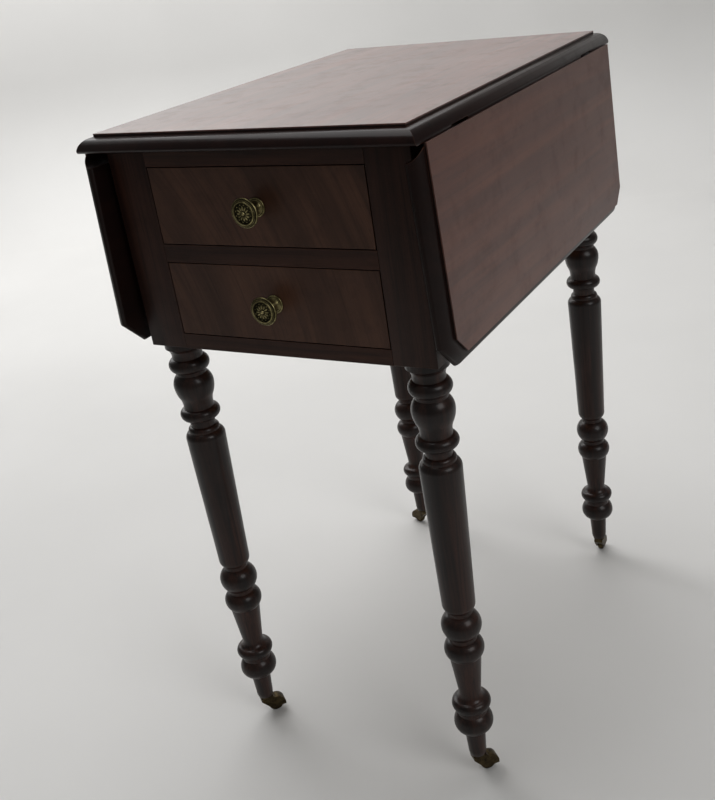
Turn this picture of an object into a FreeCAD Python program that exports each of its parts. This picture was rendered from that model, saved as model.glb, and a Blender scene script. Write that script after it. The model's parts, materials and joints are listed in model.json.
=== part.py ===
"""Drop-leaf work table with two drawers, turned legs and castors.

Millimetres. +Z is up, the drawers face -Y and +X is to the right. The origin is on the floor,
in the middle of the table's width and of its depth with the knobs. Both leaves hang at rest.
"""
import FreeCAD, Part
import math
import os
import re

import Sketcher
from FreeCAD import Placement, Rotation, Vector

SIZES = {
    # whole table
    "table_height": 740, "floor_to_case": 513,
    "case_width": 338, "case_depth": 498, "case_front": -240.75, "post": 46.4,
    # top board, leaves and the rule joint between them
    "top_field": 344, "top_depth": 528, "top_middle": 1.25, "board": 17, "ovolo": 14, "ovolo_ease": 3.2,
    "pin_out": 172, "cove_gap": 0.4, "leaf_reach": 207, "leaf_length": 527, "leaf_clip": 26,
    "leaf_stand": 2.4,
    # hinges of the rule joint
    "hinge_spot": 176, "hinge_width": 34, "flap_thick": 1.8, "flap_recess": 2.2, "long_flap": 44,
    "short_flap": 30, "knuckle": 3, "knuckle_gain": 3.4, "pin_radius": 1.25, "pin_gap": 0.05,
    "knuckle_part": 11, "knuckle_gap": 0.3,
    "screw_shank": 1.6, "screw_head": 3.1, "screw_sink": 1.5, "screw_length": 11,
    "screw_edge": 5, "screw_spread": 9, "screw_stagger": 10,
    # front rails, the openings between them and the drawers
    "top_rail_low": 704.4, "middle_rail_low": 607.6, "middle_rail_high": 626, "bottom_rail_high": 529.4,
    "tenon": 15, "tenon_thick": 10, "tenon_shoulder": 2,
    "drawer_gap": 0.9, "drawer_length": 462, "front_thick": 18, "front_lap": 6, "drawer_side": 9,
    "bottom_panel": 6, "bottom_up": 8, "bottom_groove": 4,
    # a dovetail's half width at its tip and its root, as a share of the pitch
    "tail_tip": 0.36, "tail_root": 0.26,
    # sides and back of the case
    "side_board": 18, "side_inset": 2, "lining": 12, "lining_in": 137, "fly_drop": 62, "fly_thick": 18,
    "bracket_at": -57.25, "bracket_length": 165, "bracket_pin": 2.5, "bracket_gap": 0.5,
    "back_thick": 14, "back_inset": 3, "edge_shoulder": 12,
    "runner_width": 30, "guide_height": 22, "stop_thick": 5, "stop_length": 28, "stop_out": 60,
    "glue_block": 18, "glue_block_out": 60, "glue_block_length": 60,
    "long_screw_shank": 2.2, "long_screw_head": 4, "long_screw_sink": 2.2, "long_screw_length": 28,
    "long_screw_gap": 0.8, "kicker_screw_out": 118, "kicker_screw_front": -122, "kicker_screw_back": 148,
    "rail_screw_out": 70, "rail_screw_in": 30,
    # knobs
    "knob_radius": 14.2, "knob_reach": 24.5, "knob_neck": 5.2, "rose_radius": 9.5, "rose_thick": 2.2,
    "knob_swell": 13,
    "stem": 2.5, "nut": 10, "nut_thick": 4, "stem_end": 5,
    # legs, from the case down: height of the fullest point, radius there, half the bead's height
    "neck": 13.8, "high_neck": 16.5, "collar": 21.6, "collar_low": 506, "collar_end": 496, "collar_cove": 12,
    "ring_one": 484.5, "ring_one_out": 22, "ring_one_half": 8,
    "urn": 460.5, "urn_out": 21.9, "urn_top": 473, "urn_waist": 446, "urn_waist_out": 18.6,
    "urn_end": 433.5, "urn_cove": 24,
    "ring_two": 425.5, "ring_two_out": 22, "ring_two_half": 6.8,
    "shaft_top": 396.5, "shaft_out": 21.9, "shaft_start": 406.5,
    "shaft_bottom": 233, "shaft_in": 17.9, "shaft_end": 224.5,
    "ball_one": 205.5, "ball_one_out": 21.8, "ball_one_half": 14.6,
    "ring_three": 175.5, "ring_three_out": 21.8, "ring_three_half": 11,
    "cone_top": 164.5, "cone_top_out": 17.4, "cone_foot": 115.5, "cone_foot_out": 12.1,
    "ring_four": 101, "ring_four_out": 21.6, "ring_four_top": 107.5, "ring_four_in": 16.5,
    "ring_four_end": 93, "ring_four_cove": 9,
    "ball_two": 75, "ball_two_out": 21.8, "ball_two_half": 12.5,
    "foot_out": 11.6, "foot_in": 10.1, "foot_turn": 36, "leg_end": 27, "leg_end_out": 8.6,
    "foot_round": 22,
    # castors
    "wheel_radius": 9.5, "wheel_width": 7, "trail": 10.5, "axle": 1.5, "turning_gap": 0.05,
    "plate_radius": 8.2, "plate_thick": 2, "pintle": 2.2, "rivet": 3.2, "rivet_thick": 1,
    "horn_width": 12, "horn_boss": 3.3, "horn_hood": 11.8, "horn_slot": 10.2, "horn_low": 6.5,
    "boss_out": 7.5,
    "swivel_gap": 0.3, "plate_screw": 1, "plate_screw_out": 5.4, "plate_screw_length": 9,
}
CASTOR_TURNS = {"front_left": 50, "front_right": 48, "back_left": 160, "back_right": 95}
SIDES = {"left": -1, "right": 1}

doc = FreeCAD.newDocument("WorkTable")
sheet = doc.addObject("Spreadsheet::Sheet", "Sizes")
for line_number, (alias, number) in enumerate(SIZES.items(), 1):
    sheet.set(f"A{line_number}", alias)
    sheet.set(f"B{line_number}", str(number))
    sheet.setAlias(f"B{line_number}", alias)
doc.recompute()


# ---------------------------------------------------------------- helpers
def bound(text):
    """The same expression with every size read from the sheet."""
    return re.sub(r"[a-z_]{3,}", lambda word: "Sizes." + word.group() if word.group() in SIZES
                  else word.group(), str(text))


def value(text):
    """An expression's number now, used only to start a sketch near its final shape."""
    return float(eval_number(bound(text)))


def eval_number(expression):
    result = sheet.evalExpression(expression)
    return getattr(result, "Value", result)


def span(side, near, far):
    """The low and high end of a stretch from near to far, out from the middle on one side."""
    if side > 0:
        return near, far
    return f"-({far})", f"-({near})"


def box(label, across, deep, high):
    """A board between three pairs of (low, high) expressions."""
    item = doc.addObject("Part::Box", label)
    for axis, size, (low, top) in zip("xyz", ("Length", "Width", "Height"), (across, deep, high)):
        item.setExpression(size, bound(f"({top}) - ({low})"))
        item.setExpression(f"Placement.Base.{axis}", bound(low))
    return item


def cylinder(label, radius, length, base, direction=Vector(0, 0, 1)):
    item = doc.addObject("Part::Cylinder", label)
    item.setExpression("Radius", bound(radius))
    item.setExpression("Height", bound(length))
    item.Placement = Placement(Vector(), Rotation(Vector(0, 0, 1), direction))
    for axis, text in zip("xyz", base):
        item.setExpression(f"Placement.Base.{axis}", bound(text))
    return item


def fuse(label, pieces):
    item = doc.addObject("Part::MultiFuse", label)
    item.Shapes = pieces
    return item


def group(label, pieces):
    """Separate solids that share one node."""
    item = doc.addObject("Part::Compound", label)
    item.Links = pieces
    return item


def cut(label, base, tools):
    item = doc.addObject("Part::Cut", label)
    item.Base = base
    item.Tool = tools[0] if len(tools) == 1 else group(label + "_cutters", tools)
    return item


def new_body(label):
    return doc.addObject("PartDesign::Body", label)


def new_sketch(body, plane, name, turn=0, lift=None):
    """A sketch on one of the body's origin planes, turned about Z or lifted off the plane."""
    sketch = body.newObject("Sketcher::SketchObject", name)
    origin_planes = [item for item in body.Origin.OriginFeatures if item.Role == plane]
    sketch.AttachmentSupport = [(origin_planes[0], "")]
    sketch.MapMode = "FlatFace"
    if turn:
        sketch.AttachmentOffset = Placement(Vector(), Rotation(Vector(0, 1, 0), turn))
    if lift:
        sketch.setExpression("AttachmentOffset.Base.z", bound(lift))
    return sketch


def arc_between(start, end, radius, turning):
    """The shorter arc from start to end; turning is 1 for anticlockwise and -1 for clockwise."""
    chord = end - start
    middle = (start + end) * 0.5
    left = Vector(-chord.y, chord.x, 0).normalize() * turning
    centre = middle + left * math.sqrt(max(radius ** 2 - (chord.Length / 2) ** 2, 0))
    first, last = (start, end) if turning > 0 else (end, start)
    angles = [math.atan2(point.y - centre.y, point.x - centre.x) for point in (first, last)]
    return Part.ArcOfCircle(Part.Circle(centre, Vector(0, 0, 1), radius), *angles)


def draw(sketch, points, arcs=None):
    """A closed outline. Every corner is tied to the sheet, and arcs[i] = (radius, turning) makes
    the edge after corner i round."""
    arcs = arcs or {}
    spots = [Vector(value(across), value(up), 0) for across, up in points]
    edges = []
    for index, start in enumerate(spots):
        end = spots[(index + 1) % len(spots)]
        if index in arcs:
            radius, turning = arcs[index]
            edges.append(sketch.addGeometry(arc_between(start, end, value(radius), turning)))
        else:
            edges.append(sketch.addGeometry(Part.LineSegment(start, end)))
    for index, edge in enumerate(edges):
        start_end = (2, 1) if index in arcs and arcs[index][1] < 0 else (1, 2)
        following = (index + 1) % len(edges)
        next_start = 2 if following in arcs and arcs[following][1] < 0 else 1
        sketch.addConstraint(Sketcher.Constraint("Coincident", edge, start_end[1], edges[following],
                                                 next_start))
        for kind, text in zip(("DistanceX", "DistanceY"), points[index]):
            tie = Sketcher.Constraint(kind, -1, 1, edge, start_end[0], value(text))
            sketch.setExpression(f"Constraints[{sketch.addConstraint(tie)}]", bound(text))
        if index in arcs:
            tie = Sketcher.Constraint("Radius", edge, value(arcs[index][0]))
            sketch.setExpression(f"Constraints[{sketch.addConstraint(tie)}]", bound(arcs[index][0]))


def pad(body, sketch, name, length, centred=False):
    feature = body.newObject("PartDesign::Pad", name)
    feature.Profile = sketch
    feature.setExpression("Length", bound(length))
    feature.Midplane = centred
    return feature


def pocket(body, sketch, name, length, centred=False):
    feature = body.newObject("PartDesign::Pocket", name)
    feature.Profile = sketch
    feature.setExpression("Length", bound(length))
    feature.Midplane = centred
    return feature


def turn_about(body, sketch, name, axis="V_Axis"):
    feature = body.newObject("PartDesign::Revolution", name)
    feature.Profile = sketch
    feature.ReferenceAxis = (sketch, [axis])
    feature.Angle = 360
    return feature


def turned(label, points, arcs=None):
    """A piece off the lathe: (radius, height) corners turned about its own Z axis."""
    body = new_body(label)
    sketch = new_sketch(body, "XZ_Plane", label + "_profile")
    draw(sketch, points, arcs)
    turn_about(body, sketch, label + "_turning")
    return body


# ---------------------------------------------------------------- top and leaves
# how far out from the field the rounded lower edge's middle and its outermost point lie
EASE_OUT = "sqrt(ovolo * (ovolo - 2 * ovolo_ease))"
EASED_REACH = f"({EASE_OUT} + ovolo_ease)"


def mould_edge(body, name, turn, field, eased=True):
    """Plane the fillet and ovolo along the edge that faces outwards at this angle. The rule joint
    needs the full quarter round, and elsewhere the lower edge is rounded too."""
    sketch = new_sketch(body, "XZ_Plane", name + "_moulding", turn=turn)
    outside = f"{field} + ovolo"
    round_edge = [(field, "board + 1"), (field, "ovolo")]
    arcs = {1: ("ovolo", -1)}
    if eased:
        growth = "ovolo / (ovolo - ovolo_ease)"
        round_edge += [(f"{field} + {EASE_OUT} * {growth}", f"ovolo_ease * {growth}"),
                       (f"{field} + {EASE_OUT}", "0"), (f"{field} + {EASE_OUT}", "-1")]
        arcs[2] = ("ovolo_ease", -1)
    else:
        round_edge += [(outside, "0"), (outside, "-1")]
    draw(sketch, round_edge + [(f"{outside} + 6", "-1"), (f"{outside} + 6", "board + 1")], arcs)
    pocket(body, sketch, name + "_plane", "2 * case_depth", centred=True)


def hinge_middles():
    return [f"{end} * hinge_spot" for end in (-1, 1)]


def make_top():
    body = new_body("top_blank")
    outline = new_sketch(body, "XY_Plane", "top_outline")
    reach, depth = "top_field / 2 + ovolo + 2", "top_depth / 2 + 2"
    draw(outline, [(f"-({reach})", f"-({depth})"), (reach, f"-({depth})"), (reach, depth),
                   (f"-({reach})", depth)])
    pad(body, outline, "top_thickness", "board")
    for turn in (0, 180):
        mould_edge(body, f"top_{turn}", turn, "top_field / 2", eased=False)
    for turn in (90, -90):
        mould_edge(body, f"top_{turn % 360}", turn, f"top_depth / 2 - {EASED_REACH}")
    body.setExpression("Placement.Base.y", bound("top_middle"))
    body.setExpression("Placement.Base.z", bound("table_height - board"))
    under = "table_height - board"
    cutters = []
    for side_name, side in SIDES.items():
        for number, middle in enumerate(hinge_middles()):
            width = (f"top_middle + {middle} - hinge_width / 2 - 0.5",
                     f"top_middle + {middle} + hinge_width / 2 + 0.5")
            name = f"top_{side_name}_{number}"
            cutters.append(box(name + "_short_flap_recess", span(side, "pin_out - short_flap", "pin_out - 1"),
                               width, (f"{under} - 1", f"{under} + flap_recess")))
            cutters.append(box(name + "_long_flap_recess", span(side, "pin_out - 1", "pin_out + ovolo + 1"),
                               width, (f"{under} - 1", f"{under} + flap_recess + 0.4")))
            cutters.append(cylinder(name + "_knuckle_gain", "knuckle_gain", "hinge_width + 1",
                                    (f"{side} * pin_out", width[0], under), Vector(0, 1, 0)))
    return cut("top_board_sawn", body, cutters)


def hang(item, side):
    """Turn a piece drawn on a raised leaf down about the hinge pin, on one side of the table, to
    where the leaf hangs a little out from the case."""
    turned_down = Rotation(Vector(0, 1, 0), (90 - SIZES["leaf_stand"]) * side)
    facing = Rotation(Vector(0, 0, 1), 0 if side > 0 else 180)
    item.Placement = Placement(Vector(), turned_down * facing)
    for axis, text in zip("xyz", (f"{side} * pin_out", "top_middle", "table_height - board")):
        item.setExpression(f"Placement.Base.{axis}", bound(text))
    return item


def leaf_blank(side_name):
    """A leaf drawn raised, with the pin's axis along its own Y axis."""
    body = new_body(side_name + "_leaf_blank")
    outline = new_sketch(body, "XY_Plane", side_name + "_leaf_outline")
    reach, half, clip = "leaf_reach + 2", "leaf_length / 2 + 2", "leaf_clip + 1"
    draw(outline, [("cove_gap", f"-({half})"), (f"{reach} - {clip}", f"-({half})"),
                   (reach, f"-({half}) + {clip}"), (reach, f"{half} - ({clip})"),
                   (f"{reach} - {clip}", half), ("cove_gap", half)])
    pad(body, outline, side_name + "_leaf_thickness", "board")
    end_field = f"leaf_length / 2 - {EASED_REACH}"
    corner_field = f"(leaf_reach + leaf_length / 2 - leaf_clip) / sqrt(2) - {EASED_REACH}"
    for turn, field in ((0, f"leaf_reach - {EASED_REACH}"), (90, end_field), (-90, end_field),
                        (45, corner_field), (-45, corner_field)):
        mould_edge(body, f"{side_name}_leaf_{turn % 360}", turn, field)
    cove = new_sketch(body, "XZ_Plane", side_name + "_leaf_cove")
    hollow = "ovolo + cove_gap"
    draw(cove, [("cove_gap - 3", "-1"), (hollow, "-1"), (hollow, "0"), ("cove_gap", hollow),
                ("cove_gap - 3", hollow)], {2: (hollow, 1)})
    pocket(body, cove, side_name + "_leaf_cove_plane", "2 * leaf_length", centred=True)
    return body


def flap_screws(reach_from, reach_to):
    """(out, along) places of a flap's three screws."""
    middle = f"({reach_from} + {reach_to}) / 2"
    edge = f"{reach_to} - screw_edge"
    return [(edge, "-screw_spread"), (edge, "screw_spread"), (f"{middle} - knuckle", "0")]


def screw_holes(name, spots, low, kind="screw"):
    """Countersunk screw holes up through one piece and on into the next."""
    holes = []
    for number, (out, along) in enumerate(spots):
        hole = turned(f"{name}_{number}", screw_outline("0.03", kind), None)
        for axis, text in zip("xyz", (out, along, low)):
            hole.setExpression(f"Placement.Base.{axis}", bound(text))
        holes.append(hole)
    return holes


def screw_outline(room="0", kind="screw"):
    """A countersunk screw from its head's face up to its tip, with room all round it."""
    return [("0", f"-({room})"), (f"{kind}_head + {room}", f"-({room})"),
            (f"{kind}_shank + {room}", f"{kind}_sink"), (f"{kind}_shank + {room}", f"{kind}_length - 2"),
            ("0", f"{kind}_length + {room}")]


def make_leaves_and_hinges():
    """The leaf, its hinge flaps and the top's flaps, drawn raised and then turned down."""
    top = make_top()
    nodes, top_flaps, pins, top_holes, top_screw_spots = {}, [], [], [], []
    thin = ("flap_recess - flap_thick", "flap_recess")
    under, top_edge = "table_height - board", "pin_out - short_flap + screw_edge"
    for side_name, side in SIDES.items():
        recesses, flaps, leaf_spots = [], [], []
        for number, middle in enumerate(hinge_middles()):
            name = f"{side_name}_hinge_{number}"
            low, high = f"{middle} - hinge_width / 2", f"{middle} + hinge_width / 2"
            recesses.append(box(name + "_leaf_recess", ("ovolo - 2", "long_flap + 0.3"),
                                (f"{low} - 0.3", f"{high} + 0.3"), ("-1", "flap_recess")))
            # the leaf's flap: its plate, and the middle part of the knuckle
            plate = box(name + "_long_plate", ("knuckle + 0.4", "long_flap"), (low, high), thin)
            neck = box(name + "_long_neck", ("0", "knuckle + 2"),
                       (f"{middle} - knuckle_part / 2", f"{middle} + knuckle_part / 2"), thin)
            barrel = cylinder(name + "_middle_knuckle", "knuckle", "knuckle_part",
                              ("0", f"{middle} - knuckle_part / 2", "0"), Vector(0, 1, 0))
            bore = cylinder(name + "_middle_bore", "pin_radius + pin_gap", "hinge_width",
                            ("0", low, "0"), Vector(0, 1, 0))
            spots = [(out, f"{middle} + {along}") for out, along in flap_screws("ovolo", "long_flap")]
            leaf_spots += spots
            holes = screw_holes(name + "_long_hole", spots, "flap_recess - flap_thick")
            flaps.append(cut(name + "_long_flap", fuse(name + "_long_blank", [plate, neck, barrel]),
                             [bore] + holes))
            recesses += holes
            # the top's flap: its plate, and the two outer parts of the knuckle
            world = [f"top_middle + {text}" for text in (low, high, middle)]
            plate = box(name + "_short_plate", span(side, "pin_out - short_flap", "pin_out - knuckle - 0.4"),
                        (world[0], world[1]), (f"{under} + {thin[0]}", f"{under} + {thin[1]}"))
            outer = "knuckle_part / 2 + knuckle_gap"
            barrels, necks = [], []
            for start, end in ((world[0], f"{world[2]} - ({outer})"), (f"{world[2]} + {outer}", world[1])):
                barrels.append(cylinder(f"{name}_outer_knuckle_{len(barrels)}", "knuckle",
                                        f"({end}) - ({start})", (f"{side} * pin_out", start, under),
                                        Vector(0, 1, 0)))
                necks.append(box(f"{name}_short_neck_{len(necks)}",
                                 span(side, "pin_out - knuckle - 2", "pin_out"), (start, end),
                                 (f"{under} + {thin[0]}", f"{under} + {thin[1]}")))
            bore = cylinder(name + "_outer_bore", "pin_radius", "hinge_width + 2",
                            (f"{side} * pin_out", f"{world[0]} - 1", under), Vector(0, 1, 0))
            spots = [(f"{side} * ({out})", f"{world[2]} + {along}") for out, along in
                     ((top_edge, "-screw_spread"), (top_edge, "screw_spread"),
                      (f"{top_edge} + screw_stagger", "0"))]
            top_screw_spots += spots
            holes = screw_holes(name + "_short_hole", spots, f"{under} + {thin[0]}")
            top_holes += holes
            top_flaps.append(cut(name + "_short_flap",
                                 fuse(name + "_short_blank", [plate] + necks + barrels), [bore] + holes))
            pins.append(cylinder(name + "_pin", "pin_radius", "hinge_width",
                                 (f"{side} * pin_out", world[0], under), Vector(0, 1, 0)))
        nodes[side_name + "_leaf"] = hang(cut(side_name + "_leaf", leaf_blank(side_name), recesses), side)
        nodes[side_name + "_leaf_hinge_flaps"] = hang(group(side_name + "_leaf_hinge_flaps", flaps), side)
        nodes[side_name + "_leaf_hinge_screws"] = hang(
            screws_at(side_name + "_leaf_hinge_screws", leaf_spots, "flap_recess - flap_thick"), side)
    nodes["top_board"] = cut("top_board", top, top_holes)
    nodes["hinge_top_flaps"] = group("hinge_top_flaps", top_flaps)
    nodes["hinge_pins"] = group("hinge_pins", pins)
    nodes["top_hinge_screws"] = screws_at("top_hinge_screws", top_screw_spots, f"{under} + {thin[0]}")
    return nodes


def screws_at(label, spots, low, kind="screw"):
    """Slotted countersunk screws, heads down, at (x, y) places."""
    screws = []
    for number, (out, along) in enumerate(spots):
        screw = turned(f"{label}_turned_{number}", screw_outline(kind=kind), None)
        slot = box(f"{label}_slot_{number}", (f"-{kind}_head - 1", f"{kind}_head + 1"), ("-0.4", "0.4"),
                   ("-0.5", "0.6"))
        slotted = cut(f"{label}_slotted_{number}", screw, [slot])
        for axis, text in zip("xyz", (out, along, low)):
            slotted.setExpression(f"Placement.Base.{axis}", bound(text))
        screws.append(slotted)
    return group(label, screws)


# ---------------------------------------------------------------- case
HALF = "case_width / 2"
BACK = "case_front + case_depth"
CASE_TOP = "table_height - board"
INNER = "case_width / 2 - post"
RAILS = {"top_front_rail": ("top_rail_low", CASE_TOP),
         "middle_front_rail": ("middle_rail_low", "middle_rail_high"),
         "bottom_front_rail": ("floor_to_case", "bottom_rail_high")}
SIDE_OUT = "case_width / 2 - side_inset"
SIDE_IN = "case_width / 2 - side_inset - side_board"
FLY_LOW = "table_height - board - fly_drop"
FRONT_POST_BACK = "case_front + post"
BACK_POST_FRONT = "case_front + case_depth - post"


def make_rails(tenons):
    """The three rails across the front, each with a tenon into both front legs."""
    nodes = {}
    for name, (low, high) in RAILS.items():
        pieces = [box(name + "_board", (f"-({INNER})", INNER), ("case_front", FRONT_POST_BACK), (low, high))]
        for side_name, side in SIDES.items():
            tongue = box(f"{name}_{side_name}_tenon", span(side, INNER, f"{INNER} + tenon"),
                         ("case_front + front_thick", "case_front + front_thick + tenon_thick"),
                         (f"{low} + tenon_shoulder", f"{high} - tenon_shoulder"))
            tenons["front_" + side_name].append(tongue)
            pieces.append(tongue)
        nodes[name] = fuse(name, pieces)
    return nodes


def tenoned_side(name, side_name, side, inner, thick, tongue_thick, low, high, tenons):
    """A board from front leg to back leg on one side, with a tenon at each end."""
    across = span(side, inner, f"{inner} + {thick}")
    tongue_across = span(side, f"{inner} + ({thick} - {tongue_thick}) / 2",
                         f"{inner} + ({thick} + {tongue_thick}) / 2")
    pieces = [box(name + "_board", across, (FRONT_POST_BACK, BACK_POST_FRONT), (low, high))]
    tongue_high = (f"{low} + edge_shoulder", f"{high} - edge_shoulder")
    for end, deep in (("front", (f"{FRONT_POST_BACK} - tenon", FRONT_POST_BACK)),
                      ("back", (BACK_POST_FRONT, f"{BACK_POST_FRONT} + tenon"))):
        tongue = box(f"{name}_{end}_tenon", tongue_across, deep, tongue_high)
        tenons[f"{end}_{side_name}"].append(tongue)
        pieces.append(tongue)
    return fuse(name, pieces)


def make_sides(tenons):
    """Each side: the outer board below, the lining behind, and the rail that holds the fly bracket."""
    nodes, pins = {}, []
    knuckle_radius, fingers = "side_board / 2", 5
    for side_name, side in SIDES.items():
        name = side_name + "_side_board"
        nodes[name] = tenoned_side(name, side_name, side, SIDE_IN, "side_board", "tenon_thick",
                                   "floor_to_case", FLY_LOW, tenons)
        name = side_name + "_inner_side"
        nodes[name] = tenoned_side(name, side_name, side, "lining_in", "lining", "(tenon_thick - 2)",
                                   "floor_to_case", CASE_TOP, tenons)
        across = span(side, SIDE_IN, SIDE_OUT)
        fixed = [box(side_name + "_fly_rail_front", across,
                     (FRONT_POST_BACK, f"bracket_at - {knuckle_radius} - bracket_gap"), (FLY_LOW, CASE_TOP)),
                 box(side_name + "_fly_rail_back", across,
                     ("bracket_at + bracket_length + bracket_gap", BACK_POST_FRONT), (FLY_LOW, CASE_TOP))]
        moving = [box(side_name + "_bracket_arm", across,
                      (f"bracket_at + {knuckle_radius} + bracket_gap", "bracket_at + bracket_length"),
                      (f"{FLY_LOW} + bracket_gap", f"{CASE_TOP} - bracket_gap"))]
        middle = f"{side} * ({SIDE_IN} + {knuckle_radius})"
        for finger in range(fingers):
            pitch = f"(fly_drop - bracket_gap) / {fingers}"
            low = f"{FLY_LOW} + bracket_gap / 2 + {finger} * {pitch} + bracket_gap / 4"
            height = f"{pitch} - bracket_gap / 2"
            name = f"{side_name}_finger_{finger}"
            pieces = moving if finger % 2 else fixed
            reach = (("bracket_at", f"bracket_at + {knuckle_radius} + bracket_gap") if finger % 2 else
                     (f"bracket_at - {knuckle_radius} - bracket_gap", "bracket_at"))
            pieces.append(cylinder(name + "_round", knuckle_radius, height, (middle, "bracket_at", low)))
            pieces.append(box(name + "_root", across, reach, (low, f"{low} + {height}")))
        bore = cylinder(side_name + "_bracket_bore", "bracket_pin", "fly_drop",
                        (middle, "bracket_at", FLY_LOW))
        nodes[side_name + "_fly_rail"] = cut(side_name + "_fly_rail",
                                             fuse(side_name + "_fly_rail_blank", fixed), [bore])
        nodes[side_name + "_fly_bracket"] = cut(side_name + "_fly_bracket",
                                                fuse(side_name + "_fly_bracket_blank", moving), [bore])
        pins.append(cylinder(side_name + "_bracket_pin", "bracket_pin", "fly_drop - 0.4",
                             (middle, "bracket_at", f"{FLY_LOW} + 0.2")))
    nodes["fly_rails"] = group("fly_rails", [nodes.pop("left_fly_rail"), nodes.pop("right_fly_rail")])
    nodes["bracket_pins"] = group("bracket_pins", pins)
    return nodes


def make_back(tenons):
    deep = (f"{BACK} - back_inset - back_thick", f"{BACK} - back_inset")
    pieces = [box("back_panel_board", (f"-({INNER})", INNER), deep, ("floor_to_case", CASE_TOP))]
    for side_name, side in SIDES.items():
        tongue = box(f"back_panel_{side_name}_tenon", span(side, INNER, f"{INNER} + tenon"),
                     (f"{deep[0]} + 2", f"{deep[1]} - 2"),
                     ("floor_to_case + edge_shoulder", f"{CASE_TOP} - edge_shoulder"))
        tenons["back_" + side_name].append(tongue)
        pieces.append(tongue)
    return {"back_panel": fuse("back_panel", pieces)}


def make_drawer_ways():
    """What each drawer runs on, runs between and stops against, and the strips that stop it tipping."""
    runners, guides, stops, kickers, blocks = [], [], [], [], []
    deep = (FRONT_POST_BACK, BACK_POST_FRONT)
    for side_name, side in SIDES.items():
        across = span(side, "lining_in - runner_width", "lining_in")
        for level, rail in (("upper", "middle_front_rail"), ("lower", "bottom_front_rail")):
            low, high = RAILS[rail]
            name = f"{level}_{side_name}"
            runners.append(box(name + "_runner", across, deep, (low, high)))
            guides.append(box(name + "_guide", span(side, INNER, "lining_in"), deep,
                              (high, f"{high} + guide_height")))
            stops.append(box(name + "_stop", span(side, "stop_out", "stop_out + stop_length"),
                             ("case_front + front_thick + 0.3", "case_front + front_thick + 12"),
                             (high, f"{high} + stop_thick")))
        kickers.append(box(side_name + "_kicker", across, deep, ("top_rail_low", CASE_TOP)))
        inner_back = f"{BACK} - back_inset - back_thick"
        blocks.append(box(side_name + "_glue_block",
                          span(side, "glue_block_out", "glue_block_out + glue_block_length"),
                          (f"{inner_back} - glue_block", inner_back), (f"{CASE_TOP} - glue_block", CASE_TOP)))
    return {"drawer_runners": group("drawer_runners", runners),
            "drawer_guides": group("drawer_guides", guides), "drawer_stops": group("drawer_stops", stops),
            "kickers": group("kickers_whole", kickers), "glue_blocks": group("glue_blocks", blocks)}


def screw_top_down(nodes):
    """Screws up through the kickers and the top rail hold the top board on."""
    low = "top_rail_low + long_screw_gap"
    through_kickers = [(f"{side} * kicker_screw_out", along) for side in SIDES.values()
                       for along in ("kicker_screw_front", "kicker_screw_back")]
    through_rail = [(f"{side} * rail_screw_out", "case_front + rail_screw_in") for side in SIDES.values()]
    holes = {}
    for name, spots in (("kickers", through_kickers), ("top_front_rail", through_rail)):
        holes[name] = screw_holes(name + "_screw_hole", spots, low, "long_screw")
        mouths = [cylinder(f"{name}_screw_mouth_{number}", "long_screw_head + 0.03", "long_screw_gap + 1",
                           (out, along, "top_rail_low - 1")) for number, (out, along) in enumerate(spots)]
        nodes[name].Label = name + "_undrilled"
        nodes[name] = cut(name + "_drilled", nodes[name], holes[name] + mouths)
        nodes[name].Label = name
    nodes["top_board"].Label = "top_board_undrilled"
    nodes["top_board"] = cut("top_board_drilled", nodes["top_board"],
                             holes["kickers"] + holes["top_front_rail"])
    nodes["top_board"].Label = "top_board"
    nodes["top_screws"] = screws_at("top_screws", through_kickers + through_rail, low, "long_screw")


# ---------------------------------------------------------------- drawers and knobs
DRAWERS = {"upper": ("middle_rail_high", "top_rail_low"), "lower": ("bottom_rail_high", "middle_rail_low")}
TAILS = 3


def drawer_side(label, low, high, inner):
    """A side board with dovetails at its front end, padded from its inner face outwards."""
    body = new_body(label)
    sketch = new_sketch(body, "YZ_Plane", label + "_outline")
    tip, root = "case_front + front_lap", "case_front + front_thick"
    end = "case_front + drawer_length"
    pitch = f"(({high}) - ({low})) / {TAILS}"
    points = [(root, low)]
    for tail in range(TAILS):
        middle = f"{low} + {tail + 0.5} * {pitch}"
        for across, part in ((root, "- tail_root"), (tip, "- tail_tip"), (tip, "+ tail_tip"),
                             (root, "+ tail_root")):
            points.append((across, f"{middle} {part} * {pitch}"))
    points += [(root, high), (end, high), (end, low)]
    draw(sketch, points)
    pad(body, sketch, label + "_thickness", "drawer_side")
    body.setExpression("Placement.Base.x", bound(inner))
    return body


def make_drawer(name, opening, knob_hole):
    low, high = f"{opening[0]} + drawer_gap", f"{opening[1]} - drawer_gap"
    out = f"{INNER} - drawer_gap"
    inside = f"{out} - drawer_side"
    end = "case_front + drawer_length"
    panel_low = f"{low} + bottom_up"
    panel_groove = f"{inside} + bottom_groove"
    panel = box(name + "_drawer_bottom", (f"-({panel_groove})", panel_groove),
                ("case_front + front_thick - bottom_groove", end), (panel_low, f"{panel_low} + bottom_panel"))
    sides = []
    for side_name, side in SIDES.items():
        inner = inside if side > 0 else f"-({out})"
        whole = drawer_side(f"{name}_drawer_{side_name}_side", low, high, inner)
        sides.append(cut(f"{name}_drawer_{side_name}_side_grooved", whole, [panel]))
    front = box(name + "_drawer_front_board", (f"-({out})", out),
                ("case_front", "case_front + front_thick"), (low, high))
    sockets = [piece.Base for piece in sides]
    back = box(name + "_drawer_back", (f"-({inside})", inside), (f"{end} - drawer_side", end),
               (f"{panel_low} + bottom_panel", f"{high} - 5"))
    return {f"{name}_drawer_front": cut(f"{name}_drawer_front", front, sockets + [panel, knob_hole]),
            f"{name}_drawer_sides": group(f"{name}_drawer_sides", sides),
            f"{name}_drawer_back": back, f"{name}_drawer_bottom": panel}


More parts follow.
